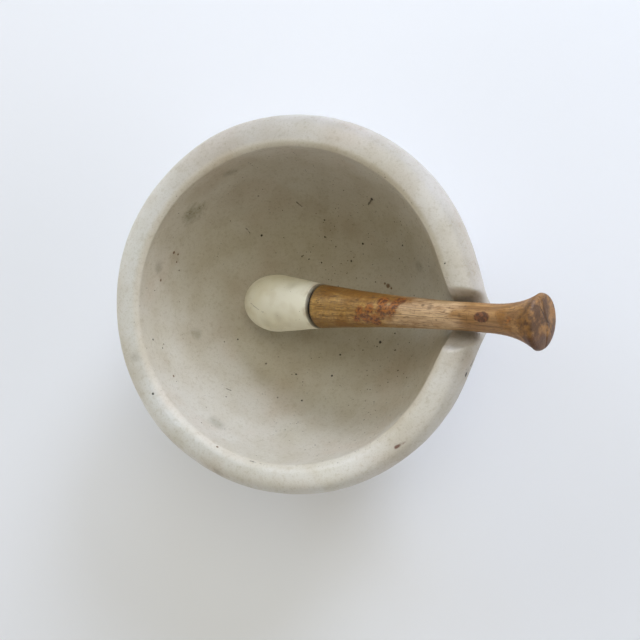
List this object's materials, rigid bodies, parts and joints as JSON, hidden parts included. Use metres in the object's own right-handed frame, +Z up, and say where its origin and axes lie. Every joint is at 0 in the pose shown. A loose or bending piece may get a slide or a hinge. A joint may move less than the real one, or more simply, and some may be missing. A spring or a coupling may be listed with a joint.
{
  "type": "mortar and pestle",
  "caption": "Thick ceramic mortar bowl with a rounded rim and a pulled pouring lip, and a pestle with a ceramic head cemented on a turned wooden handle.",
  "frame": {"origin": "centre of the mortar's flat base, on the surface that it stands on", "axes": "+Z up the mortar's axis; +X out through the pouring lip, above which the pestle's handle rises; +Y across"},
  "size_m": [0.2703, 0.23, 0.1403],
  "materials": {
    "stoneware": "unglazed off-white stoneware, satin-matte, faintly mottled, with tiny pits",
    "biscuit_porcelain": "unglazed cream porcelain, matte, finely speckled",
    "dark_cement": "dull near-black resin cement",
    "turned_hardwood": "worn turned hardwood, bare and satin, with stains"
  },
  "bodies": {
    "mortar": {"mortar": "stoneware"},
    "pestle": {"pestle_head": "biscuit_porcelain", "joint_cement": "dark_cement", "pestle_handle": "turned_hardwood"}
  },
  "joints": [
    {"name": "pestle_lift", "type": "slide", "parent": "mortar", "child": "pestle", "axis": [0, 0, 1], "range_m": [0, 0.12]}
  ]
}
